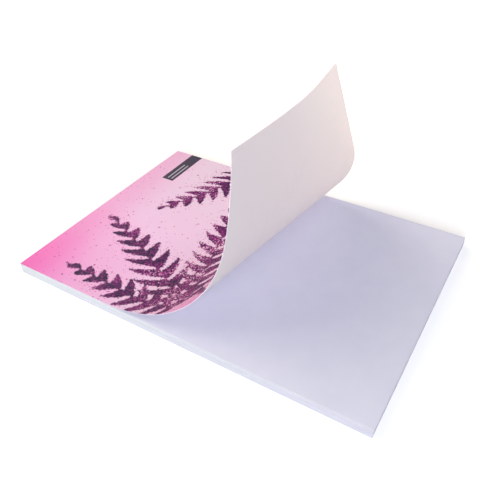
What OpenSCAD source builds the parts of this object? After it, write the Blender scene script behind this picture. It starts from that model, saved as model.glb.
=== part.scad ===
// Writing pad: a stack of leaves glued along the head, on a backing board and
// under a printed cover sheet that curls up from its foot. Millimetres.
// The pad lies flat. X runs across it from the near long side to the far one,
// +Y points to the glued head and +Z is up. The origin is at the centre of the
// leaves' outline, on the surface that the pad lies on.

/* [Leaves] */
// Width of a leaf
leaf_w = 210; // [148:1:216]
// Length of a leaf, from the glued head to the foot
leaf_l = 297; // [280:1:330]
// Thickness of the stack of leaves
stack_t = 8.2; // [3:0.1:15]

/* [Backing board] */
// Thickness of the backing board
board_t = 0.8; // [0.4:0.1:2]

/* [Cover sheet] */
// Thickness of the cover sheet
cover_t = 0.25; // [0.15:0.05:0.5]

/* [Glued head] */
// Thickness of the glue film over the head
glue_t = 0.4; // [0.2:0.1:1]

/* [Roll of the cover] */
// Length of cover that lies flat, along the near edge from the head
flat_near = 87; // [60:1:100]
// Length of cover that lies flat, along the far edge from the head
flat_far = 146; // [110:1:160]
// Length of the roll along the near edge
roll_near = 156; // [120:1:170]
// Length of the roll along the far edge
roll_far = 66; // [50:1:85]
// Angle that the roll turns through
roll_angle = 84; // [20:1:95]
// Number of fold lines in the roll
roll_folds = 42; // [12:1:60]

/* [Flick of the free corner] */
// Length of the flick along the line of the near edge, which it may overrun
flick_near = 170; // [100:1:200]
// Length of the flick along the far edge
flick_far = 14; // [2:1:30]
// Angle that the flick turns through
flick_angle = 31; // [5:1:40]
// Number of fold lines in the flick
flick_folds = 16; // [6:1:24]

/* [Hidden] */

near_x = -leaf_w / 2;
far_x = leaf_w / 2;
head_y = leaf_l / 2;
foot_y = -leaf_l / 2;
stack_top = board_t + stack_t;
cover_top = stack_top + cover_t;

// Rigid moves as 4 x 4 matrices
function move(v) = [[1, 0, 0, v[0]], [0, 1, 0, v[1]], [0, 0, 1, v[2]], [0, 0, 0, 1]];
function turn_x(a) = [[1, 0, 0, 0], [0, cos(a), -sin(a), 0], [0, sin(a), cos(a), 0], [0, 0, 0, 1]];
function turn_z(a) = [[cos(a), -sin(a), 0, 0], [sin(a), cos(a), 0, 0], [0, 0, 1, 0], [0, 0, 0, 1]];
function placed(m, x, y, z) = let (p = m * [x, y, z, 1]) [p[0], p[1], p[2]];

// A fold is a straight line across the flat sheet: its distance from the head
// on the near edge, the same on the far edge, and the angle that it bends by
function spread_folds(near, far, near_l, far_l, turn, count) =
    [for (i = [0:count - 1])
        let (t = (i + 0.5) / count)
        [near + near_l * t, far + far_l * t, turn / count]];

// The foot side of a fold turns up about its line by the angle a
function bend(fold, a) =
    let (near_point = [near_x, head_y - fold[0], 0],
         slant = atan2(fold[0] - fold[1], leaf_w))
    move(near_point) * turn_z(slant) * turn_x(-a) * turn_z(-slant) * move(-near_point);

// Where a fold leaves the sheet on the near side: on the near edge, or on the
// free edge at the foot once it has passed the near corner
function near_exit(fold) =
    fold[0] <= leaf_l ? [near_x, head_y - fold[0]]
    : [near_x + leaf_w * (fold[0] - leaf_l) / (fold[0] - fold[1]), foot_y];

rolled = concat(
    spread_folds(flat_near, flat_far, roll_near, roll_far, roll_angle, roll_folds),
    spread_folds(flat_near + roll_near, flat_far + roll_far, flick_near, flick_far,
                 flick_angle, flick_folds));

// A line that doesn't bend runs through the near free corner, so that the
// outline turns there, between the folds before the corner and those past it
before = [for (fold = rolled) if (fold[0] < leaf_l) fold];
past = [for (fold = rolled) if (fold[0] >= leaf_l) fold];
last = before[len(before) - 1];
corner_far = len(past) == 0 ? (last[1] + leaf_l) / 2
    : last[1] + (past[0][1] - last[1]) * (leaf_l - last[0]) / (past[0][0] - last[0]);
folds = concat([[0, 0, 0]], before, [[leaf_l, corner_far, 0]], past);

// The move that each fold's head side has made, and last the free corner's
frames = [for (i = 0, m = move([0, 0, stack_top]); i <= len(folds);
               m = i < len(folds) ? m * bend(folds[i], folds[i][2]) : m, i = i + 1) m];

// The order of the points in a section of the cover
under_near = 0;
under_far = 1;
print_far = 2;
print_near = 3;
section_points = 4;

// The section of the cover on a fold. Half of the fold's bend sets its points
// square to both sides, a cover's thickness apart
function section(i) =
    let (fold = folds[i],
         m = frames[i] * bend(fold, fold[2] / 2),
         exit = near_exit(fold),
         print_z = cover_t / cos(fold[2] / 2))
    [placed(m, exit[0], exit[1], 0),
     placed(m, far_x, head_y - fold[1], 0),
     placed(m, far_x, head_y - fold[1], print_z),
     placed(m, exit[0], exit[1], print_z)];

module backing_board() {
    color("lightgray")
        translate([near_x, foot_y, 0])
            cube([leaf_w, leaf_l, board_t]);
}

module page_block() {
    color("lavender")
        translate([near_x, foot_y, board_t])
            cube([leaf_w, leaf_l, stack_t]);
}

// One sheet of paper, bent along its folds and flat between them
module cover_sheet() {
    points = concat(
        [for (i = [0:len(folds) - 1]) each section(i)],
        [for (z = [0, cover_t]) placed(frames[len(folds)], far_x, foot_y, z)]);
    last_start = section_points * (len(folds) - 1);
    tip_under = last_start + section_points;
    tip_print = tip_under + 1;
    head_face = [[print_far, print_near, under_near, under_far]];
    strip_faces = [for (a = [0:section_points:last_start - section_points])
        let (b = a + section_points)
        each [
            [a + print_near, a + print_far, b + print_far, b + print_near],
            [a + under_near, b + under_near, b + under_far, a + under_far],
            [a + print_near, b + print_near, b + under_near, a + under_near],
            [b + print_far, a + print_far, a + under_far, b + under_far]]];
    corner_faces = let (a = last_start) [
        [a + print_near, a + print_far, tip_print],
        [a + under_near, tip_under, a + under_far],
        [a + print_near, tip_print, tip_under, a + under_near],
        [tip_print, a + print_far, a + under_far, tip_under]];
    color("hotpink")
        polyhedron(points, concat(head_face, strip_faces, corner_faces));
}

// The film of glue holds the board, the leaves and the cover by their head edges
module glue_strip() {
    color("white")
        translate([near_x, head_y, 0])
            cube([leaf_w, glue_t, cover_top]);
}

backing_board();
page_block();
cover_sheet();
glue_strip();
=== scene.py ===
"""Writing pad whose printed cover sheet curls up and back from its foot.

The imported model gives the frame. Each of its four pieces is remade here with the fine
shape and the finish that the real one has: a stack of cut leaves, a sheet that is
folded line by line into its curl, a board with softened edges and a film of glue.
Lengths are in metres where nothing else is said. X runs from the near long side to the
far one, +Y points to the glued head and +Z is up.
"""

import logging
import math
import random
from dataclasses import dataclass
from enum import Enum, IntEnum
from typing import Sequence, Union

import bmesh
import bpy
from mathutils import Matrix, Vector, noise


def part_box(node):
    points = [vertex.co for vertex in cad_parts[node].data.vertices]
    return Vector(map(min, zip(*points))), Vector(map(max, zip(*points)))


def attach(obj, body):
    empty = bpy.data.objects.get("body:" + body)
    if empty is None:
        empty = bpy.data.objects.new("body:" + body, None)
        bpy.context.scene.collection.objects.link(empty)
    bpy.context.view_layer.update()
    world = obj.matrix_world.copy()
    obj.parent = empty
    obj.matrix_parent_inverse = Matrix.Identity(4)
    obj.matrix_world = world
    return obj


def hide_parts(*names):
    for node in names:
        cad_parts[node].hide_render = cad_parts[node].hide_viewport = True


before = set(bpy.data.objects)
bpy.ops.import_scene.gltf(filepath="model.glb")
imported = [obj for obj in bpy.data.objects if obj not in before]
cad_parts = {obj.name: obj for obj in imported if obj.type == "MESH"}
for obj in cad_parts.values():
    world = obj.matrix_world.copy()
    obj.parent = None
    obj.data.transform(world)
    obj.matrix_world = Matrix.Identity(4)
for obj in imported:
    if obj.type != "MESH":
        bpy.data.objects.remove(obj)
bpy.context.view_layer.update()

MM = 0.001
ROOT = "root"
SHEET_MAP = "sheet"
WHITE = (1.0, 1.0, 1.0)

Colour = tuple[float, float, float]
Node = bpy.types.Node
Socket = bpy.types.NodeSocket
Value = Union[float, Socket]
Material = bpy.types.Material
BMesh = bmesh.types.BMesh

log = logging.getLogger("writing_pad")


def srgb(red: int, green: int, blue: int) -> Colour:
    """Turns a colour as a screen shows it into the linear one that shaders take.

    Args:
        red: Red, 0 to 255.
        green: Green, 0 to 255.
        blue: Blue, 0 to 255.

    Returns:
        The linear colour, each part 0 to 1.
    """
    def linear(part: int) -> float:
        """Returns one part in linear light."""
        share = part / 255
        return share / 12.92 if share <= 0.04045 else ((share + 0.055) / 1.055) ** 2.4

    return linear(red), linear(green), linear(blue)


class PadNode(Enum):
    """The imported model's nodes."""

    BOARD = "backing_board"
    LEAVES = "page_block"
    COVER = "cover_sheet"
    GLUE = "glue_strip"


class Face(IntEnum):
    """Material places on a sheet of paper or board."""

    TOP = 0
    BACK = 1
    EDGE = 2


class Wiring:
    """Adds nodes to one node tree and joins them."""

    def __init__(self, tree: bpy.types.NodeTree) -> None:
        """Starts on a material's, a group's or a world's tree."""
        self.tree = tree

    def find(self, kind: str) -> Node:
        """Returns the tree's first node of a kind."""
        return next(node for node in self.tree.nodes if node.type == kind)

    def add(self, kind: str, *values: object, **settings: object) -> Node:
        """Adds a node.

        Args:
            kind: The node's type name.
            values: What its first inputs are fed, in their order.
            settings: Properties to set on it first.

        Returns:
            The new node.
        """
        node = self.tree.nodes.new(kind)
        for name, value in settings.items():
            setattr(node, name, value)
        for socket, value in zip(node.inputs, values):
            self.feed(socket, value)
        return node

    def feed(self, socket: Socket, value: object) -> None:
        """Joins a socket to another, or sets its value.

        Args:
            socket: The input socket.
            value: An output socket, a number, or a colour or vector.
        """
        if isinstance(value, Socket):
            self.tree.links.new(value, socket)
        elif isinstance(value, tuple) and socket.type == "RGBA":
            socket.default_value = (*value, 1.0)
        else:
            socket.default_value = value

    def feed_named(self, node: Node, **inputs: object) -> Node:
        """Feeds some of a node's inputs.

        Args:
            node: The node.
            inputs: Its inputs' values or sockets, with _ for a space in their names.

        Returns:
            The node.
        """
        for name, value in inputs.items():
            self.feed(node.inputs[name.replace("_", " ")], value)
        return node

    def math(self, operation: str, *values: Value, clamp: bool = False) -> Socket:
        """Returns a Math node's result, kept from 0 to 1 if it is clamped."""
        return self.add("ShaderNodeMath", *values, operation=operation, use_clamp=clamp).outputs[0]

    def vector(self, operation: str, *values: object, output: str = "Vector") -> Socket:
        """Returns the output of a Vector Math node that is called Vector or Value."""
        return self.add("ShaderNodeVectorMath", *values, operation=operation).outputs[output]

    def distance(self, place: Socket, spot: tuple[float, float]) -> Socket:
        """Returns how far a place is from a spot in the plane."""
        return self.vector("DISTANCE", place, (*spot, 0.0), output="Value")

    def split(self, vector: Socket) -> tuple[Socket, Socket]:
        """Returns the first two parts of a vector."""
        node = self.add("ShaderNodeSeparateXYZ", vector)
        return node.outputs[0], node.outputs[1]

    def span(self, value: Value, low: Value, high: Value, out_low: float = 0.0,
             out_high: float = 1.0, smooth: bool = False) -> Socket:
        """Maps a range of numbers to another and clamps it.

        Args:
            value: The number to map.
            low: The start of its range.
            high: The end of its range.
            out_low: What the start becomes.
            out_high: What the end becomes.
            smooth: Whether the change is eased at both ends.

        Returns:
            The result's socket.
        """
        kind = "SMOOTHSTEP" if smooth else "LINEAR"
        node = self.add("ShaderNodeMapRange", value, low, high, out_low, out_high, interpolation_type=kind)
        return node.outputs[0]

    def blend(self, share: Value, base: object, other: object, way: str = "MIX") -> Socket:
        """Mixes two colours.

        Args:
            share: How much of the second colour, 0 to 1.
            base: The first colour.
            other: The second colour.
            way: Blender's name of the blend.

        Returns:
            The mixed colour's socket.
        """
        node = self.add("ShaderNodeMix", share, data_type="RGBA", blend_type=way)
        self.feed(node.inputs[6], base)
        self.feed(node.inputs[7], other)
        return node.outputs[2]

    def ramp(self, share: Value, stops: Sequence[tuple[float, Colour]],
             steps: bool = False) -> Socket:
        """Adds a colour ramp.

        Args:
            share: The place on the ramp, 0 to 1.
            stops: Places and their colours, in order.
            steps: Whether the colours change in steps, without blending.

        Returns:
            The colour's socket.
        """
        node = self.add("ShaderNodeValToRGB", share)
        ramp = node.color_ramp
        ramp.interpolation = "CONSTANT" if steps else "LINEAR"
        while len(ramp.elements) < len(stops):
            ramp.elements.new(0.5)
        for element, (place, colour) in zip(ramp.elements, stops):
            element.position = place
            element.color = (*colour, 1.0)
        return node.outputs[0]

    def cloud(self, place: Socket, scale: Value, detail: float = 2.0) -> Socket:
        """Returns a noise, about 0.3 to 0.7, with scale features to the unit of place."""
        return self.add("ShaderNodeTexNoise", place, 0.0, scale, detail).outputs[0]

    def cells(self, place: Socket, scale: Value) -> Node:
        """Returns a cell texture in the plane, with scale cells to the unit of place."""
        return self.add("ShaderNodeTexVoronoi", place, 0.0, scale, voronoi_dimensions="2D")


class Group:
    """A shader node group with named inputs and outputs, built once."""

    KINDS = {"number": "NodeSocketFloat", "vector": "NodeSocketVector", "colour": "NodeSocketColor"}

    def __init__(self, name: str, inputs: dict[str, str], outputs: dict[str, str]) -> None:
        """Makes the empty group.

        Args:
            name: The group's name.
            inputs: Its inputs' names and kinds.
            outputs: Its outputs' names and kinds.
        """
        self.tree = bpy.data.node_groups.new(name, "ShaderNodeTree")
        self.wiring = Wiring(self.tree)
        for in_out, sockets in (("INPUT", inputs), ("OUTPUT", outputs)):
            for socket, kind in sockets.items():
                self.tree.interface.new_socket(name=socket, in_out=in_out, socket_type=self.KINDS[kind])
        self.entry = self.wiring.add("NodeGroupInput")
        self.exit = self.wiring.add("NodeGroupOutput")

    def given(self, name: str) -> Socket:
        """Returns the socket that an input comes in by."""
        return self.entry.outputs[name]

    def give(self, name: str, value: Socket) -> None:
        """Joins a result to one of the outputs."""
        self.wiring.feed(self.exit.inputs[name], value)

    def place(self, wiring: Wiring, **inputs: object) -> Node:
        """Places the group in another tree, feeds it and returns its node."""
        return wiring.feed_named(wiring.add("ShaderNodeGroup", node_tree=self.tree), **inputs)


# The two layers of a felt of fibre: how each is drawn out, and its detail
FELT_LAYERS = (((1.0, 2.6, 1.0), 4.0), ((2.2, 1.0, 1.0), 3.0))


def fibre_group() -> Group:
    """Builds the effect of paper fibre: a fine felt and a wide cloudiness.

    Returns:
        The group. Place is in millimetres.
    """
    group = Group("paper_fibre", {"Place": "vector", "Fibre": "number", "Cloud": "number"},
                  {"Felt": "number", "Cloudiness": "number"})
    w = group.wiring
    place = group.given("Place")
    fine, crossed = [w.cloud(w.vector("MULTIPLY", place, drawn), group.given("Fibre"), detail)
                     for drawn, detail in FELT_LAYERS]
    group.give("Felt", w.math("MULTIPLY", w.math("ADD", fine, crossed), 0.5))
    group.give("Cloudiness", w.span(w.cloud(place, group.given("Cloud")), 0.3, 0.7))
    return group


# Powers that shape the leaf towards its tip and each leaflet towards its point
TIP_POWER = 0.6
POINT_POWER = 0.55
# Slant of a leaflet at the spine, and what its point adds
SLANT = 0.45
POINT_SLANT = 0.35
# How far the leaflets of one side stand before the other's, in half pitches
STAGGER = 0.25
# Half the width of a printed outline's soft edge
SOFT_EDGE = 0.03
# Half the spine's thickness at its tip, and what its root adds, in millimetres
SPINE_TIP = 0.6
SPINE_ROOT = 1.0


def leaf_group() -> Group:
    """Builds the mask of one tropical leaf, drawn flat on the sheet.

    The leaf grows from Root along Heading and its spine sweeps to one side. Leaflets
    stand off the spine in pairs, slanting to the tip, and Fill says how much of the
    leaf they cover: under 1 they part at the spine, over 1 they join to a blade that
    is slit from its margin.

    Returns:
        The group. Lengths are in millimetres and angles in radians.
    """
    group = Group("leaf_shape",
                  {"Place": "vector", "Root": "vector", "Heading": "number", "Length": "number",
                   "Reach": "number", "Sweep": "number", "Pitch": "number", "Fill": "number"},
                  {"Leaf": "number", "Near": "number"})
    w = group.wiring
    turn = w.feed_named(w.add("ShaderNodeVectorRotate", rotation_type="Z_AXIS"),
                        Vector=w.vector("SUBTRACT", group.given("Place"), group.given("Root")),
                        Angle=w.math("MULTIPLY", group.given("Heading"), -1.0))
    along, aside = w.split(turn.outputs[0])
    share = w.math("DIVIDE", along, group.given("Length"))
    swept = w.math("MULTIPLY", w.math("MULTIPLY", share, share), group.given("Sweep"))
    off_spine = w.math("SUBTRACT", aside, swept)
    side = w.math("ABSOLUTE", off_spine)

    taper = w.math("POWER", w.math("SUBTRACT", 1.0, share, clamp=True), TIP_POWER)
    swell = w.span(share, -0.05, 0.3, 0.35, 1.0, smooth=True)
    reach = w.math("MULTIPLY", group.given("Reach"), w.math("MULTIPLY", taper, swell))
    out = w.math("DIVIDE", side, w.math("MAXIMUM", reach, 0.01))

    stagger = w.math("MULTIPLY", w.math("SIGN", off_spine), STAGGER)
    slant = w.math("MULTIPLY", side, w.math("MULTIPLY_ADD", out, POINT_SLANT, SLANT))
    beat = w.math("DIVIDE", w.math("SUBTRACT", along, slant), group.given("Pitch"))
    wave = w.math("PINGPONG", w.math("ADD", w.math("MULTIPLY", beat, 2.0), stagger), 1.0)
    point = w.math("POWER", w.math("SUBTRACT", 1.0, out, clamp=True), POINT_POWER)
    blade = w.math("MULTIPLY", point, group.given("Fill"))
    leaflets = w.span(w.math("SUBTRACT", blade, wave), -SOFT_EDGE, SOFT_EDGE)
    thickness = w.math("MULTIPLY", taper, SPINE_ROOT)
    spine = w.span(side, w.math("MULTIPLY_ADD", taper, SPINE_ROOT, SPINE_TIP), thickness)
    whole = w.math("MAXIMUM", w.math("MULTIPLY", leaflets, w.span(out, 1.0, 0.96)), spine)
    ends = w.math("MULTIPLY", w.span(share, 0.0, 0.01), w.span(share, 1.0, 0.99))
    group.give("Leaf", w.math("MULTIPLY", ends, whole))
    near = w.math("MULTIPLY", w.span(out, 1.7, 0.6, smooth=True), w.span(share, -0.15, 0.1, smooth=True))
    group.give("Near", w.math("MULTIPLY", near, w.span(share, 1.15, 0.9, smooth=True)))
    return group


# Tones of the glitter from its deepest flecks to its sparks
GLITTER_TONES = (
    (0.0, srgb(38, 20, 56)), (0.20, srgb(70, 30, 84)), (0.38, srgb(112, 34, 100)),
    (0.58, srgb(148, 48, 122)), (0.74, srgb(186, 82, 154)), (0.88, srgb(232, 160, 206)),
    (0.98, srgb(248, 212, 234)))


def glitter_group() -> Group:
    """Builds the glitter that fills the printed leaves. It is paler away from the near edge as printed, and
    paler further down towards the curl as painted sheen.

    Returns:
        The group. Place is in millimetres, and Grain is cells for each millimetre.
    """
    group = Group("printed_glitter", {"Place": "vector", "Grain": "number"}, {"Colour": "colour"})
    w = group.wiring
    place = group.given("Place")
    fleck, _ = w.split(w.cells(place, group.given("Grain")).outputs["Color"])
    drift = w.span(w.cloud(place, 0.04), 0.36, 0.64, out_low=-0.24, out_high=0.14)
    across, down = w.split(place)
    # Paler away from the near edge, which is the print's own tone, and paler further down where the sheet
    # curls, which is painted sheen.
    paler_print_and_sheen = w.math("ADD", w.span(across, 30.0, 110.0, out_low=-0.09, out_high=0.05),
                   w.span(down, 70.0, 130.0, out_low=-0.08, out_high=0.08))
    tone = w.math("ADD", w.math("ADD", fleck, drift), paler_print_and_sheen)
    group.give("Colour", w.ramp(tone, GLITTER_TONES, steps=True))
    return group


@dataclass(frozen=True)
class Leaf:
    """One printed leaf, in millimetres from the sheet's near head corner.

    Attributes:
        across: Where its root is, from the near edge.
        down: Where its root is, from the head.
        heading: Direction it grows in, degrees from across the sheet towards the foot.
        length: Length of its spine.
        reach: Length of its longest leaflets, square to the spine.
        sweep: How far the spine's tip sweeps aside.
        pitch: Distance from one leaflet to the next.
        fill: How much of the leaf its leaflets cover, as for leaf_shape.
    """

    across: float
    down: float
    heading: float
    length: float
    reach: float
    sweep: float
    pitch: float
    fill: float


@dataclass(frozen=True)
class PrintLayout:
    """Where the printed motifs lie on the flat cover, in millimetres.

    Attributes:
        width: Width of the sheet.
        length: Length of the sheet from the head.
        leaves: The tropical leaves.
        bar_from: Nearest corner of the dark bar, across and down.
        bar_to: Its furthest corner.
        rules_down: Where its two pale rules lie, from the head.
        rule_from: Where the rules begin, from the near edge.
        rule_to: Where they end.
        rule_width: Width of a rule.
    """

    width: float
    length: float
    leaves: tuple[Leaf, ...]
    bar_from: tuple[float, float] = (159.5, 18.5)
    bar_to: tuple[float, float] = (211.0, 31.0)
    rules_down: tuple[float, float] = (22.9, 26.9)
    rule_from: float = 162.5
    rule_to: float = 190.0
    rule_width: float = 1.3


@dataclass(frozen=True)
class Dust:
    """Specks of glitter that have fallen round the leaves.

    Attributes:
        scale: Specks for each millimetre.
        sparse: Share of them that show away from the leaves.
        crowd: What is added to that share beside a leaf.
        size: Radius of the largest speck, in its own cell.
    """

    scale: float
    sparse: float
    crowd: float
    size: float


DUSTS = (Dust(0.15, 0.22, 0.4, 0.15), Dust(0.4, 0.1, 0.55, 0.25))
# The ground from its pink corners to its lilac middle
GROUND_TONES = (
    (0.0, srgb(241, 132, 200)), (0.10, srgb(242, 148, 208)), (0.19, srgb(242, 162, 214)),
    (0.29, srgb(241, 180, 221)), (0.40, srgb(242, 189, 226)), (0.50, srgb(241, 203, 232)),
    (0.95, srgb(243, 217, 237)))
# Distance over which the pink fades out, and how far its outline wanders, in millimetres
PINK_FADE = 210.0
PINK_WANDER = 24.0
# Depth of the pinker border along the head in millimetres, and what the ground is multiplied by there
HEAD_BORDER = 48.0
HEAD_TINT = (1.0, 0.73, 0.86)
# Cells of the leaves' ragged outline for each millimetre, and how far it strays
RAGGED_CELLS = 0.9
RAGGED_STRAY = (1.5, 1.5, 0.0)
GLITTER_GRAIN = 1.3


def print_group(layout: PrintLayout) -> Group:
    """Builds the whole print of the cover.

    Args:
        layout: Where its motifs lie.

    Returns:
        The group, from the flat place in millimetres to the print's colour and how much
        ink lies there.
    """
    group = Group("cover_print", {"Place": "vector"}, {"Colour": "colour", "Ink": "number"})
    w = group.wiring
    place = group.given("Place")
    across, down = w.split(place)

    pink = w.distance(place, (0.0, 0.0))
    for spot, haste, head_start in (((layout.width, layout.length), 1.1, 22.0), ((8.0, 172.0), 1.6, 40.0)):
        spread = w.math("MULTIPLY_ADD", w.distance(place, spot), haste, head_start)
        pink = w.math("MINIMUM", pink, spread)
    wander = w.math("MULTIPLY", w.math("SUBTRACT", w.cloud(place, 0.016), 0.5), PINK_WANDER)
    ground = w.ramp(w.math("DIVIDE", w.math("ADD", pink, wander), PINK_FADE), GROUND_TONES)
    border = w.span(down, 0.0, HEAD_BORDER, 1.0, 0.0, smooth=True)
    ground = w.blend(border, ground, HEAD_TINT, "MULTIPLY")

    stray = w.vector("SUBTRACT", w.cells(place, RAGGED_CELLS).outputs["Color"], (0.5, 0.5, 0.5))
    frayed = w.vector("ADD", place, w.vector("MULTIPLY", stray, RAGGED_STRAY))
    shape = leaf_group()
    leaf: Value = 0.0
    near: Value = 0.0
    for grown in layout.leaves:
        drawn = shape.place(w, Place=frayed, Root=(grown.across, grown.down, 0.0),
                            Heading=math.radians(grown.heading), Length=grown.length,
                            Reach=grown.reach, Sweep=grown.sweep, Pitch=grown.pitch, Fill=grown.fill)
        leaf = w.math("MAXIMUM", leaf, drawn.outputs["Leaf"])
        near = w.math("MAXIMUM", near, drawn.outputs["Near"])

    dust: Value = 0.0
    for kind in DUSTS:
        spots = w.cells(place, kind.scale)
        pick, weight = w.split(spots.outputs["Color"])
        present = w.math("LESS_THAN", pick, w.math("MULTIPLY_ADD", near, kind.crowd, kind.sparse))
        radius = w.math("MULTIPLY", w.math("MULTIPLY_ADD", weight, 0.7, 0.3), kind.size)
        inside = w.math("SUBTRACT", radius, spots.outputs["Distance"])
        speck = w.math("MULTIPLY", w.span(inside, -SOFT_EDGE, SOFT_EDGE), present)
        dust = w.math("MAXIMUM", dust, speck)
    dust_tone = w.blend(w.cells(place, 0.25).outputs["Distance"], srgb(222, 96, 168), srgb(140, 62, 122))
    colour = w.blend(w.math("MULTIPLY", dust, 0.8), ground, dust_tone)

    glitter = glitter_group().place(w, Place=place, Grain=GLITTER_GRAIN).outputs["Colour"]
    colour = w.blend(leaf, colour, glitter)

    def box(low: tuple[float, float], high: tuple[float, float]) -> Socket:
        """Returns the mask of a rectangle on the sheet.

        Args:
            low: Its corner nearest the near head corner, across and down.
            high: Its corner furthest from there.

        Returns:
            The mask's socket.
        """
        inside: Value = 1.0
        for axis, from_side, to_side in zip((across, down), low, high):
            for test, side in (("GREATER_THAN", from_side), ("LESS_THAN", to_side)):
                inside = w.math("MULTIPLY", inside, w.math(test, axis, side))
        return inside

    bar = box(layout.bar_from, layout.bar_to)
    colour = w.blend(bar, colour, srgb(66, 58, 76))
    for down_at in layout.rules_down:
        rule = box((layout.rule_from, down_at), (layout.rule_to, down_at + layout.rule_width))
        colour = w.blend(w.math("MULTIPLY", rule, 0.75), colour, srgb(214, 204, 218))

    group.give("Colour", colour)
    group.give("Ink", w.math("MAXIMUM", leaf, bar))
    return group


def place_on_object(w: Wiring) -> Socket:
    """Returns the place on the object, in millimetres."""
    position = w.add("ShaderNodeTexCoord").outputs["Object"]
    return w.vector("SCALE", position, (0, 0, 0), (0, 0, 0), 1 / MM)


class Swatch:
    """A material in the making, with one Principled shader."""

    def __init__(self, name: str) -> None:
        """Starts the material.

        Args:
            name: The material's name.
        """
        self.material = bpy.data.materials.new(name)
        self.material.use_nodes = True
        self.wiring = Wiring(self.material.node_tree)
        self.shader = self.wiring.find("BSDF_PRINCIPLED")

    def set(self, **inputs: object) -> None:
        """Feeds the shader's inputs, with _ for a space in their names."""
        self.wiring.feed_named(self.shader, **inputs)

    def bump(self, height: Socket, depth: float) -> None:
        """Gives the shader a bump whose height of 1 is depth metres."""
        node = self.wiring.feed_named(self.wiring.add("ShaderNodeBump"), Distance=depth, Height=height)
        self.set(Normal=node.outputs[0])


@dataclass(frozen=True)
class Surface:
    """The grain and the gloss of a surface.

    Attributes:
        fibre: Fibres for each millimetre.
        cloud: Clouds of thin fibre for each millimetre.
        depth: Depth of the fibre's bump.
        roughness: How matt it is.
        specular: Strength of its reflection, where 0.5 is a polished one's.
    """

    fibre: float
    cloud: float
    depth: float
    roughness: float
    specular: float


class Finish:
    """A material whose surface has the grain of fibre."""

    name: str
    surface: Surface

    def build(self, fibre: Group) -> Material:
        """Builds the material.

        Args:
            fibre: The paper fibre group.

        Returns:
            The material.
        """
        swatch = Swatch(self.name)
        place = self.place(swatch.wiring)
        felt = fibre.place(swatch.wiring, Place=place, Fibre=self.surface.fibre, Cloud=self.surface.cloud)
        swatch.set(Roughness=self.surface.roughness, Specular_IOR_Level=self.surface.specular)
        self.paint(swatch, place, felt.outputs["Cloudiness"])
        swatch.bump(felt.outputs["Felt"], self.surface.depth)
        return swatch.material

    def place(self, w: Wiring) -> Socket:
        """Returns the place that the finish follows, in millimetres."""
        return place_on_object(w)

    def paint(self, swatch: Swatch, place: Socket, cloudiness: Socket) -> None:
        """Gives the material its colour, from where it is and how thin the fibre lies there."""
        raise NotImplementedError


@dataclass(frozen=True)
class PlainPaper(Finish):
    """Uncoated paper.

    Attributes:
        name: The material's name.
        colour: Its colour.
        cloud_colour: What it turns to where the fibre lies thin.
        surface: Its grain and gloss.
    """

    name: str
    colour: Colour
    cloud_colour: Colour
    surface: Surface = Surface(fibre=1.6, cloud=0.07, depth=0.04 * MM, roughness=0.62, specular=0.3)

    def paint(self, swatch: Swatch, place: Socket, cloudiness: Socket) -> None:
        """Mixes the paper's two colours."""
        swatch.set(Base_Color=swatch.wiring.blend(cloudiness, self.colour, self.cloud_colour))


@dataclass(frozen=True)
class CutEdges(Finish):
    """The guillotined edges of many leaves, seen as fine lines.

    Attributes:
        name: The material's name.
        colour: Colour of most edges at the head.
        dark: Colour in the gaps and on the duller edges.
        foot_shade: What the colours are multiplied by at the foot, a painted shade that darkens the edges
            towards it.
        pitch: Thickness of a leaf in millimetres.
        half_length: Distance from the middle of the stack to its foot in millimetres.
        drawn_out: How little an edge's tone changes along it.
        contrast: How much of the dark colour the darkest edges have.
        surface: Their grain and gloss.
    """

    name: str
    colour: Colour
    dark: Colour
    foot_shade: Colour
    pitch: float
    half_length: float
    drawn_out: float = 0.03
    contrast: float = 0.7
    surface: Surface = Surface(fibre=3.0, cloud=0.2, depth=0.03 * MM, roughness=0.8, specular=0.2)

    def paint(self, swatch: Swatch, place: Socket, cloudiness: Socket) -> None:
        """Draws the edges as lines, with painted shade that darkens them towards the foot.

        Args:
            swatch: The material in the making.
            place: The place on the stack, in millimetres.
            cloudiness: How thin the fibre lies.
        """
        w = swatch.wiring
        lines = w.vector("MULTIPLY", place, (self.drawn_out, self.drawn_out, 1 / self.pitch))
        line = w.span(w.cloud(lines, 1.0, 1.0), 0.35, 0.65)
        edges = w.blend(w.math("MULTIPLY", line, self.contrast), self.colour, self.dark)
        # Painted shade: the edges grow darker from the head to the foot.
        _, to_head = w.split(place)
        foot_share = w.span(to_head, self.half_length, -self.half_length)
        swatch.set(Base_Color=w.blend(foot_share, edges, self.foot_shade, "MULTIPLY"))


class SheetFinish(Finish):
    """A finish that follows the flat cover sheet."""

    layout: PrintLayout

    def place(self, w: Wiring) -> Socket:
        """Returns the place on the flat sheet, in millimetres across and down from the head."""
        flat = w.add("ShaderNodeUVMap", uv_map=SHEET_MAP).outputs[0]
        return w.vector("MULTIPLY", flat, (self.layout.width, self.layout.length, 0.0))


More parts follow.
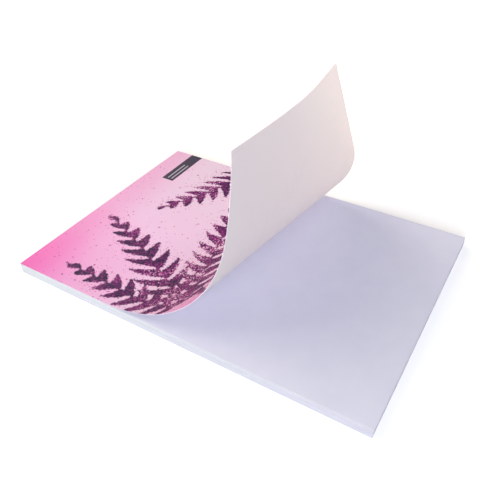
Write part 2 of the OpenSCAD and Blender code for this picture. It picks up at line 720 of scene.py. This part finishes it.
@dataclass(frozen=True)
class CoverPrint(SheetFinish):
    """The printed side of the cover, with the light sheen of its coating.

    Attributes:
        layout: Where the print's motifs lie.
        artwork: The print group.
        uneven: How much the roughness strays either way.
        ink_shine: How much less rough the ink is.
        name: The material's name.
        surface: Its grain and gloss.
    """

    layout: PrintLayout
    artwork: Group
    uneven: float = 0.04
    ink_shine: float = 0.06
    name: str = "cover_print"
    surface: Surface = Surface(fibre=1.2, cloud=0.03, depth=0.02 * MM, roughness=0.48, specular=0.08)

    def paint(self, swatch: Swatch, place: Socket, cloudiness: Socket) -> None:
        """Prints the artwork and varies the sheen.

        Args:
            swatch: The material in the making.
            place: The place on the flat sheet, in millimetres.
            cloudiness: How thin the fibre lies.
        """
        w = swatch.wiring
        art = self.artwork.place(w, Place=place)
        roughness = self.surface.roughness
        bare = w.span(cloudiness, 0.0, 1.0, roughness - self.uneven, roughness + self.uneven)
        inked = w.math("SUBTRACT", bare, w.math("MULTIPLY", art.outputs["Ink"], self.ink_shine))
        swatch.set(Base_Color=art.outputs["Colour"], Roughness=inked)


@dataclass(frozen=True)
class CoverBack(SheetFinish):
    """The plain side of the cover, where a little of the print shows through.

    Attributes:
        layout: Where the print's motifs lie.
        artwork: The print group.
        colour: Colour of the bare paper on the near side.
        far_painted_light: Its colour towards the far side, lighter and warmer, which is painted light.
        cloud_colour: What it turns towards where the fibre lies thin.
        cloud_share: How far it turns there.
        show_through: How much of the print shows, 0 to 1.
        name: The material's name.
        surface: Its grain and gloss.
    """

    layout: PrintLayout
    artwork: Group
    colour: Colour
    far_painted_light: Colour
    cloud_colour: Colour = srgb(214, 208, 214)
    cloud_share: float = 0.03
    show_through: float = 0.02
    name: str = "cover_back"
    surface: Surface = Surface(fibre=1.6, cloud=0.05, depth=0.04 * MM, roughness=0.6, specular=0.3)

    def paint(self, swatch: Swatch, place: Socket, cloudiness: Socket) -> None:
        """Colours the bare paper, with painted light that makes it lighter and warmer towards the far side,
        and lets the print show through.

        Args:
            swatch: The material in the making.
            place: The place on the flat sheet, in millimetres.
            cloudiness: How thin the fibre lies.
        """
        w = swatch.wiring
        art = self.artwork.place(w, Place=place)
        across, _ = w.split(place)
        # Painted light: the bare paper grows lighter and warmer from the near side to the far side.
        paper = w.blend(w.span(across, 0.0, self.layout.width, smooth=True), self.colour, self.far_painted_light)
        paper = w.blend(w.math("MULTIPLY", cloudiness, self.cloud_share), paper, self.cloud_colour)
        printed = w.blend(1.0, paper, art.outputs["Colour"], "MULTIPLY")
        swatch.set(Base_Color=w.blend(self.show_through, paper, printed))


@dataclass(frozen=True)
class GreyBoard(Finish):
    """Pressed grey board, flecked with darker fibres.

    Attributes:
        name: The material's name.
        colour: Its colour.
        fleck: Colour of its flecks.
        surface: Its grain and gloss.
    """

    name: str
    colour: Colour
    fleck: Colour
    surface: Surface = Surface(fibre=0.9, cloud=0.04, depth=0.12 * MM, roughness=0.88, specular=0.2)

    def paint(self, swatch: Swatch, place: Socket, cloudiness: Socket) -> None:
        """Colours the board and strews it with flecks.

        Args:
            swatch: The material in the making.
            place: The place on the board, in millimetres.
            cloudiness: How thin the fibre lies.
        """
        w = swatch.wiring
        fleck = w.span(w.cloud(w.vector("MULTIPLY", place, (1.0, 3.0, 1.0)), 1.1, 5.0), 0.56, 0.68)
        cloudy = w.blend(w.math("MULTIPLY", cloudiness, 0.18), self.colour, self.fleck)
        swatch.set(Base_Color=w.blend(w.math("MULTIPLY", fleck, 0.5), cloudy, self.fleck))


@dataclass(frozen=True)
class GlueSkin:
    """The rubbery skin of dried padding glue.

    Attributes:
        colour: Its colour where it is thick.
        thin: Its colour where the leaves show through.
        brush: How the brush draws it out along the head, through it and upwards.
        depth: Depth of the brush's marks.
    """

    colour: Colour
    thin: Colour
    brush: tuple[float, float, float] = (0.12, 1.0, 1.6)
    depth: float = 0.15 * MM

    def build(self) -> Material:
        """Builds the material.

        Returns:
            The material.
        """
        swatch = Swatch("glue_skin")
        w = swatch.wiring
        brushed = w.cloud(w.vector("MULTIPLY", place_on_object(w), self.brush), 0.6, 3.0)
        swatch.set(Base_Color=w.blend(w.span(brushed, 0.35, 0.65), self.colour, self.thin),
                   Roughness=w.span(brushed, 0.3, 0.7, out_low=0.28, out_high=0.42))
        swatch.bump(brushed, self.depth)
        return swatch.material


@dataclass(frozen=True)
class WhiteFloor:
    """A plain pale floor that the camera sees as white and that keeps the pad's shadow.

    Attributes:
        colour: Colour of the floor as it lights the pad.
        lift: Light added under the pad for the camera alone, where 1 is white.
        fade_from: Distance from the middle at which the floor begins to turn white.
        fade_to: Distance at which it is as white as the background.
    """

    colour: Colour
    lift: float
    fade_from: float = 0.3
    fade_to: float = 1.0

    def build(self) -> Material:
        """Builds the material.

        Returns:
            The material.
        """
        swatch = Swatch("white_floor")
        w = swatch.wiring
        swatch.set(Base_Color=self.colour, Roughness=0.9, Specular_IOR_Level=0.0)
        outward = w.vector("LENGTH", w.add("ShaderNodeTexCoord").outputs["Object"], output="Value")
        lift = w.span(outward, self.fade_from, self.fade_to, self.lift, 1.0, smooth=True)
        glow = w.feed_named(w.add("ShaderNodeEmission"), Strength=w.math("MULTIPLY", seen_directly(w), lift))
        both = w.add("ShaderNodeAddShader", swatch.shader.outputs[0], glow.outputs[0])
        w.feed_named(w.find("OUTPUT_MATERIAL"), Surface=both.outputs[0])
        return swatch.material


def seen_directly(w: Wiring) -> Socket:
    """Finds the rays that see the white background.

    Args:
        w: The wiring of the floor or the background.

    Returns:
        The socket of 1 for camera, glossy and transmission rays and 0 for the others.
    """
    path = w.add("ShaderNodeLightPath").outputs
    seen = w.math("ADD", path["Is Camera Ray"], path["Is Glossy Ray"])
    return w.math("ADD", seen, path["Is Transmission Ray"], clamp=True)


def add_object(name: str, data: bpy.types.ID) -> bpy.types.Object:
    """Adds an object to the scene.

    Args:
        name: Its name.
        data: Its mesh, camera or lamp.

    Returns:
        The object.
    """
    made = bpy.data.objects.new(name, data)
    bpy.context.scene.collection.objects.link(made)
    return made


def add_mesh(name: str, source: BMesh, materials: Sequence[Material]) -> bpy.types.Object:
    """Adds an object with the mesh of a finished bmesh.

    Args:
        name: Its name.
        source: The bmesh in the pad's own frame, which is freed.
        materials: Its materials in the order of its faces' places.

    Returns:
        The object.
    """
    mesh = bpy.data.meshes.new(name)
    source.to_mesh(mesh)
    source.free()
    for material in materials:
        mesh.materials.append(material)
    return add_object(name, mesh)


def add_piece(name: str, source: BMesh, materials: Sequence[Material], node: PadNode) -> bpy.types.Object:
    """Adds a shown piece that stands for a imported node.

    Args:
        name: The piece's name.
        source: Its bmesh in the pad's own frame, which is freed.
        materials: Its materials in the order of its faces' places.
        node: The node that it stands for.

    Returns:
        The piece.
    """
    piece = add_mesh(name, source, materials)
    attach(piece, ROOT)
    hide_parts(node.value)
    log.info("%s: %d faces for node %s", name, len(piece.data.polygons), node.value)
    return piece


@dataclass(frozen=True)
class BoxSize:
    """A node's box.

    Attributes:
        node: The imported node.
    """

    node: PadNode

    @property
    def low(self) -> Vector:
        """Returns its lowest corner."""
        return Vector(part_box(self.node.value)[0])

    @property
    def high(self) -> Vector:
        """Returns its highest corner."""
        return Vector(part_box(self.node.value)[1])

    @property
    def size(self) -> Vector:
        """Returns its lengths along X, Y and Z."""
        return self.high - self.low

    @property
    def centre(self) -> Vector:
        """Returns its middle."""
        return (self.low + self.high) / 2


def add_block(bm: BMesh, size: Vector, centre: Vector) -> None:
    """Adds a closed block to a mesh.

    Args:
        bm: The mesh.
        size: Its lengths along X, Y and Z.
        centre: Its middle.
    """
    corners = bmesh.ops.create_cube(bm, size=1.0)["verts"]
    bmesh.ops.scale(bm, verts=corners, vec=size)
    bmesh.ops.translate(bm, verts=corners, vec=centre)


def cut(bm: BMesh, point: Vector, normal: Vector, merge: float = 1e-7) -> None:
    """Cuts a whole mesh along a plane, and keeps both sides joined.

    Args:
        bm: The mesh.
        point: A point on the plane.
        normal: The plane's normal.
        merge: Distance within which a corner counts as on the plane.
    """
    bmesh.ops.bisect_plane(bm, geom=bm.verts[:] + bm.edges[:] + bm.faces[:], dist=merge,
                           plane_co=point, plane_no=normal)


def mark_faces(bm: BMesh) -> None:
    """Gives upright faces the edge's material place and level ones the top's.

    Args:
        bm: The mesh.
    """
    bm.normal_update()
    for face in bm.faces:
        face.material_index = Face.TOP if abs(face.normal.z) > 0.5 else Face.EDGE


def smooth(bm: BMesh) -> None:
    """Smooths a mesh but for its open edges.

    Args:
        bm: The mesh.
    """
    for face in bm.faces:
        face.smooth = True
    for edge in bm.edges:
        edge.smooth = not edge.is_boundary
    bm.normal_update()


@dataclass
class LeafStack:
    """The stack of leaves, each cut a hair differently from the next.

    Attributes:
        block: The box that the stack fills.
        count: Number of leaves.
        stray: How far a leaf's edge may lie inside the box.
        fill: Share of a leaf's pitch that is paper.
        seed: Start of the random draws.
    """

    block: BoxSize
    count: int = 80
    stray: float = 0.12 * MM
    fill: float = 0.94
    seed: int = 7

    @property
    def pitch(self) -> float:
        """Returns the height from one leaf to the next."""
        return self.block.size.z / self.count

    def build(self) -> BMesh:
        """Builds the leaves.

        Returns:
            Their mesh.
        """
        draw = random.Random(self.seed)
        bm = bmesh.new()
        for index in range(self.count):
            low = Vector((draw.uniform(0.0, self.stray), draw.uniform(0.0, self.stray), 0.0))
            high = Vector((draw.uniform(0.0, self.stray), 0.0, 0.0))
            size = Vector((self.block.size.x, self.block.size.y, self.pitch * self.fill)) - low - high
            centre = self.block.centre + (low - high) / 2
            centre.z = self.block.high.z - self.pitch * (index + self.fill / 2)
            add_block(bm, size, centre)
        mark_faces(bm)
        return bm

    def dress(self, fibre: Group) -> list[Material]:
        """Builds the finishes of a leaf's sides and edges.

        Args:
            fibre: The paper fibre group.

        Returns:
            The materials in the order of the places.
        """
        paper = PlainPaper("leaf_paper", srgb(230, 229, 244), srgb(227, 226, 242))
        # The edge colours get painted shade, darker towards the foot.
        edges = CutEdges("leaf_edges", srgb(220, 221, 214), srgb(195, 196, 195), foot_shade=(0.84, 0.80, 0.87),
                         pitch=self.pitch / MM, half_length=self.block.size.y / 2 / MM)
        sides = paper.build(fibre)
        return [sides, sides, edges.build(fibre)]


@dataclass(frozen=True)
class FoldFan:
    """A fan of straight folds over the flat sheet, each bending it a little.

    Attributes:
        near: How far down from the head it starts, on the line of the near edge.
        far: How far down it starts on the far edge.
        near_length: Its length on the line of the near edge.
        far_length: Its length on the far edge.
        angle: Angle that it turns through, in degrees.
        count: Number of its folds.
    """

    near: float
    far: float
    near_length: float
    far_length: float
    angle: float
    count: int

    def at(self, share: float) -> tuple[float, float]:
        """Returns how far down a fold lies on the near and the far edge, at a share of the fan."""
        return self.near + self.near_length * share, self.far + self.far_length * share


@dataclass
class CurledCover:
    """The cover sheet, folded along straight lines that fan out over the flat sheet.

    Attributes:
        width: Width of the sheet.
        length: Length of the sheet.
        underside: Height of its flat underside.
        thickness: Thickness of the paper.
        roll: The folds that roll it up.
        flick: The folds that flick its free corner over, past the roll.
        reach: How far past a fold's line a corner must lie to be turned by it.
    """

    width: float
    length: float
    underside: float
    thickness: float = 0.25 * MM
    roll: FoldFan = FoldFan(87 * MM, 146 * MM, 156 * MM, 66 * MM, 84.0, 126)
    flick: FoldFan = FoldFan(243 * MM, 212 * MM, 170 * MM, 14 * MM, 31.0, 48)
    reach: float = 1e-6

    def line(self, near: float, far: float) -> tuple[Vector, Vector]:
        """Lays a line over the flat sheet.

        Args:
            near: How far down from the head it crosses the line of the near edge.
            far: How far down it crosses the far edge.

        Returns:
            Its point on the near edge's line and its direction across the sheet.
        """
        point = Vector((-self.width / 2, self.length / 2 - near, self.underside))
        return point, Vector((self.width, near - far, 0.0)).normalized()

    def folds(self) -> list[tuple[Vector, Vector, float]]:
        """Works out the folds on the flat sheet.

        Returns:
            For each fold, from the head to the foot, its point, its direction and the
            angle that it bends by, and last a line that doesn't bend, through the corner.
        """
        lines = []
        for fan in (self.roll, self.flick):
            for index in range(fan.count):
                place = fan.at((index + 0.5) / fan.count)
                lines.append((*self.line(*place), math.radians(fan.angle / fan.count)))
        _, corner_far = self.flick.at((self.length - self.flick.near) / self.flick.near_length)
        lines.append((*self.line(self.length, corner_far), 0.0))
        return lines

    def build(self) -> BMesh:
        """Cuts and folds the sheet.

        Returns:
            The mesh of its underside.
        """
        bm = bmesh.new()
        corners = bmesh.ops.create_grid(bm, x_segments=1, y_segments=1, size=0.5)["verts"]
        bmesh.ops.scale(bm, verts=corners, vec=(self.width, self.length, 1.0))
        bmesh.ops.translate(bm, verts=corners, vec=(0.0, 0.0, self.underside))
        folds = self.folds()
        for point, across, _ in folds:
            cut(bm, point, Vector((across.y, -across.x, 0.0)))
        self.map_flat(bm)
        self.fold(bm, folds)
        smooth(bm)
        return bm

    def map_flat(self, bm: BMesh) -> None:
        """Keeps each corner's place on the flat sheet as a UV map.

        Args:
            bm: The flat sheet.
        """
        layer = bm.loops.layers.uv.new(SHEET_MAP)
        for face in bm.faces:
            for loop in face.loops:
                flat = loop.vert.co
                loop[layer].uv = (flat.x / self.width + 0.5, 0.5 - flat.y / self.length)

    def fold(self, bm: BMesh, folds: Sequence[tuple[Vector, Vector, float]]) -> None:
        """Folds the sheet, from the free edge back to the head.

        Args:
            bm: The sheet, cut along its folds.
            folds: The folds, from the head to the foot.
        """
        flat = {vert: vert.co.copy() for vert in bm.verts}
        for point, across, angle in reversed(folds):
            footward = Vector((across.y, -across.x, 0.0))
            moved = [vert for vert, place in flat.items() if (place - point).dot(footward) > self.reach]
            bmesh.ops.rotate(bm, verts=moved, cent=point, matrix=Matrix.Rotation(-angle, 3, across))

    def dress(self, fibre: Group) -> list[Material]:
        """Builds the finishes of the cover's two sides and its edges.

        Args:
            fibre: The paper fibre group.

        Returns:
            The materials in the order of the places.
        """
        layout = PrintLayout(self.width / MM, self.length / MM, (
            Leaf(8, 152, -80, 122, 22, -10, 14.0, 0.84),
            Leaf(14, 158, -55, 158, 30, -22, 15.0, 0.84),
            Leaf(20, 156, -26, 156, 28, 20, 14.5, 0.84),
            Leaf(218, 92, -166, 112, 26, 18, 13.5, 0.84),
            Leaf(216, 108, 160, 120, 28, 14, 14.0, 1.25),
            Leaf(18, 170, 8, 140, 28, 16, 14.0, 0.84),
            Leaf(14, 178, 48, 120, 28, -14, 14.0, 0.84),
            Leaf(206, 292, -140, 130, 30, 16, 14.0, 0.84),
            Leaf(212, 296, -104, 110, 26, -12, 13.0, 1.25)))
        artwork = print_group(layout)
        finishes = (
            CoverPrint(layout, artwork),
            # The back's second colour is painted light, lighter and warmer towards the far side.
            CoverBack(layout, artwork, srgb(213, 204, 204), srgb(230, 216, 211)),
            PlainPaper("cover_edge", srgb(236, 222, 230), srgb(228, 206, 220),
                       Surface(fibre=1.6, cloud=0.07, depth=0.04 * MM, roughness=0.75, specular=0.3)))
        return [finish.build(fibre) for finish in finishes]

    def thicken(self, piece: bpy.types.Object) -> None:
        """Gives the sheet its thickness, the print above and the edge between.

        Args:
            piece: The sheet's object.
        """
        wall = piece.modifiers.new("paper", "SOLIDIFY")
        wall.thickness = self.thickness
        wall.offset = 1.0
        wall.use_even_offset = True
        wall.material_offset = Face.BACK
        wall.material_offset_rim = Face.EDGE


@dataclass
class BackingBoard:
    """The board under the leaves, with its cut edges a little softened.

    Attributes:
        plate: The box that it fills.
        edge_round: Radius of its softened edges.
    """

    plate: BoxSize
    edge_round: float = 0.12 * MM

    def build(self) -> BMesh:
        """Builds the board.

        Returns:
            Its mesh.
        """
        bm = bmesh.new()
        add_block(bm, self.plate.size, self.plate.centre)
        bmesh.ops.bevel(bm, geom=bm.edges[:], offset=self.edge_round, offset_type="OFFSET",
                        affect="EDGES", segments=3, profile=0.5, material=-1)
        mark_faces(bm)
        return bm

    def dress(self, fibre: Group) -> list[Material]:
        """Builds the board's finishes.

        Args:
            fibre: The paper fibre group.

        Returns:
            The materials in the order of the places.
        """
        board = GreyBoard("grey_board", srgb(206, 203, 202), srgb(160, 156, 156)).build(fibre)
        edge = GreyBoard("grey_board_edge", srgb(198, 198, 204), srgb(158, 156, 160)).build(fibre)
        return [board, board, edge]


@dataclass
class GlueFilm:
    """The film of glue brushed over the head edges, thicker in some places than others.

    Attributes:
        film: The box that it fills at its thickest.
        thin_share: Share of its thickness between the brush's ripples.
        least_share: Share of its thickness that it has everywhere.
        rim_share: What its upper and lower rim keep of the thickness.
        rim_rise: How fast it grows thicker away from them.
        cuts_across: Divisions along the pad's width.
        cuts_up: Divisions over its height.
        ripple: Size of the brush's ripples along the head.
        ripple_up: How much closer they lie upwards.
    """

    film: BoxSize
    thin_share: float = 0.45
    least_share: float = 0.2
    rim_share: float = 0.35
    rim_rise: float = 3.2
    cuts_across: int = 120
    cuts_up: int = 8
    ripple: float = 9 * MM
    ripple_up: float = 2.5

    def build(self) -> BMesh:
        """Builds the film.

        Returns:
            Its mesh.
        """
        low, size, middle = self.film.low, self.film.size, self.film.centre.y
        bm = bmesh.new()
        add_block(bm, size, self.film.centre)
        for axis, cuts in ((0, self.cuts_across), (2, self.cuts_up)):
            normal = Vector((0.0, 0.0, 0.0))
            normal[axis] = 1.0
            for index in range(1, cuts):
                cut(bm, low + normal * (size[axis] * index / cuts), normal, merge=0.0)
        for vert in bm.verts:
            if vert.co.y > middle:
                vert.co.y = low.y + size.y * self.thickness_share(vert.co)
        smooth(bm)
        return bm

    def thickness_share(self, place: Vector) -> float:
        """Works out how thick the film is.

        Args:
            place: A point on its outer face.

        Returns:
            The share of its full thickness, less towards its upper and lower rim.
        """
        low, high = self.film.low.z, self.film.high.z
        ripple = noise.noise(Vector((place.x, 0.0, place.z * self.ripple_up)) / self.ripple)
        rim = min(place.z - low, high - place.z) / (high - low)
        full = self.thin_share + (1.0 - self.thin_share) * (0.5 + 0.5 * ripple)
        return max(self.least_share, min(1.0, full * min(1.0, self.rim_share + rim * self.rim_rise)))

    def dress(self) -> list[Material]:
        """Builds the film's finish and returns it."""
        return [GlueSkin(srgb(228, 227, 229), srgb(215, 215, 226)).build()]


def bearing(azimuth: float, elevation: float) -> Vector:
    """Works out the direction from the pad to where a camera or lamp stands.

    Args:
        azimuth: How far round the pad it stands, in degrees. 0 looks along +Y.
        elevation: How high it stands, in degrees.

    Returns:
        The direction, of length 1.
    """
    around, up = math.radians(azimuth), math.radians(elevation)
    return Vector((math.sin(around) * math.cos(up), -math.cos(around) * math.cos(up), math.sin(up)))


@dataclass(frozen=True)
class PhotoCamera:
    """The camera, at the photograph's place and angle.

    Attributes:
        place: Where it stands.
        azimuth: Its direction round the pad, in degrees.
        elevation: How far it looks down, in degrees.
        roll: Its turn about its own axis, in degrees.
        focal_pixels: Its focal length in pixels of the photograph.
        frame_pixels: The photograph's width in pixels.
        sensor: Width of its sensor, in millimetres.
    """

    place: tuple[float, float, float]
    azimuth: float
    elevation: float
    roll: float
    focal_pixels: float
    frame_pixels: int = 500
    sensor: float = 36.0

    def build(self) -> None:
        """Builds the scene's camera."""
        data = bpy.data.cameras.new("photo_camera")
        data.sensor_width = self.sensor
        data.lens = self.sensor * self.focal_pixels / self.frame_pixels
        data.clip_start = 0.01
        data.clip_end = 20.0
        camera = add_object("photo_camera", data)
        turned = Matrix.Rotation(math.radians(self.roll), 3, "Z").to_quaternion()
        camera.rotation_mode = "QUATERNION"
        camera.rotation_quaternion = bearing(self.azimuth, self.elevation).to_track_quat("Z", "Y") @ turned
        camera.location = self.place
        bpy.context.scene.camera = camera


@dataclass(frozen=True)
class Softbox:
    """A square, soft studio lamp aimed at the pad.

    Attributes:
        name: Its name.
        azimuth: Where it stands round the pad, in degrees, as for the camera.
        elevation: How high it stands, in degrees.
        size: Width and height of its face.
        power: Its power in watts.
        colour: Colour of its light.
        distance: How far it is from the point that it is aimed at.
        aim_height: Height of that point over the middle of the pad.
    """

    name: str
    azimuth: float
    elevation: float
    size: float
    power: float
    colour: Colour
    distance: float = 1.4
    aim_height: float = 0.03

    def build(self) -> None:
        """Builds the lamp."""
        data = bpy.data.lights.new(self.name, "AREA")
        data.shape = "SQUARE"
        data.size = self.size
        data.energy = self.power
        data.color = self.colour
        away = bearing(self.azimuth, self.elevation)
        lamp = add_object(self.name, data)
        lamp.location = Vector((0.0, 0.0, self.aim_height)) + away * self.distance
        lamp.visible_camera = False
        lamp.rotation_mode = "QUATERNION"
        lamp.rotation_quaternion = (-away).to_track_quat("-Z", "Y")


@dataclass(frozen=True)
class Studio:
    """The floor, the light and the camera.

    Attributes:
        ambient: Strength of the even light from all round.
        ambient_colour: Its colour.
        lamps: The soft lamps.
        camera: The camera.
        floor_radius: Radius of the round floor, past which the background is white.
        floor_gap: How far it lies under the pad.
    """

    ambient: float
    ambient_colour: Colour
    lamps: tuple[Softbox, ...]
    camera: PhotoCamera
    floor_radius: float = 1.25
    floor_gap: float = 0.02 * MM

    def build(self) -> None:
        """Builds the floor, the background, the lamps and the camera."""
        self.build_floor()
        self.build_world()
        for lamp in self.lamps:
            lamp.build()
        self.camera.build()
        bpy.context.scene.view_settings.view_transform = "Standard"
        log.info("studio: %d lamps", len(self.lamps))

    def build_floor(self) -> None:
        """Builds the floor, which isn't part of the pad."""
        bm = bmesh.new()
        rim = bmesh.ops.create_circle(bm, cap_ends=True, segments=128, radius=self.floor_radius)["verts"]
        bmesh.ops.translate(bm, verts=rim, vec=(0.0, 0.0, -self.floor_gap))
        finish = WhiteFloor(srgb(240, 240, 242), lift=0.35)
        add_mesh("floor", bm, [finish.build()])

    def build_world(self) -> None:
        """Builds the even light, with a white background where it is seen directly."""
        world = bpy.data.worlds.new("studio_world")
        world.use_nodes = True
        bpy.context.scene.world = world
        w = Wiring(world.node_tree)
        seen = seen_directly(w)
        w.feed_named(w.find("BACKGROUND"), Color=w.blend(seen, self.ambient_colour, WHITE),
                     Strength=w.span(seen, 0.0, 1.0, self.ambient, 1.0))


def main() -> None:
    """Builds the pad and the studio round it."""
    logging.basicConfig(level=logging.INFO, format="%(name)s: %(message)s")
    fibre = fibre_group()
    block = BoxSize(PadNode.LEAVES)

    stack = LeafStack(block)
    add_piece("leaf_stack", stack.build(), stack.dress(fibre), PadNode.LEAVES)

    cover = CurledCover(block.size.x, block.size.y, block.high.z)
    sheet = add_piece("curled_cover", cover.build(), cover.dress(fibre), PadNode.COVER)
    cover.thicken(sheet)

    board = BackingBoard(BoxSize(PadNode.BOARD))
    add_piece("grey_backing_board", board.build(), board.dress(fibre), PadNode.BOARD)

    glue = GlueFilm(BoxSize(PadNode.GLUE))
    add_piece("brushed_glue", glue.build(), glue.dress(), PadNode.GLUE)

    Studio(
        ambient=0.085,
        ambient_colour=(0.96, 0.98, 1.0),
        lamps=(
            Softbox("head_softbox", -150.0, 50.0, 1.1, 10.1, (1.0, 0.95, 0.74)),
            Softbox("behind_softbox", 150.0, 35.0, 0.5, 5.0, (1.0, 0.84, 0.84)),
            Softbox("far_softbox", 60.0, 9.0, 0.5, 12.2, (1.0, 0.984, 0.975)),
            Softbox("near_softbox", -75.0, 20.0, 0.5, 15.0, (0.784, 0.855, 1.0)),
            Softbox("foot_softbox", -45.0, 20.0, 0.5, 4.6, (0.90, 0.88, 1.0))),
        camera=PhotoCamera((-0.29613, -0.18269, 0.29214), azimuth=-58.64, elevation=39.12,
                           roll=-0.91, focal_pixels=550.44),
    ).build()


if __name__ == "__main__":
    main()
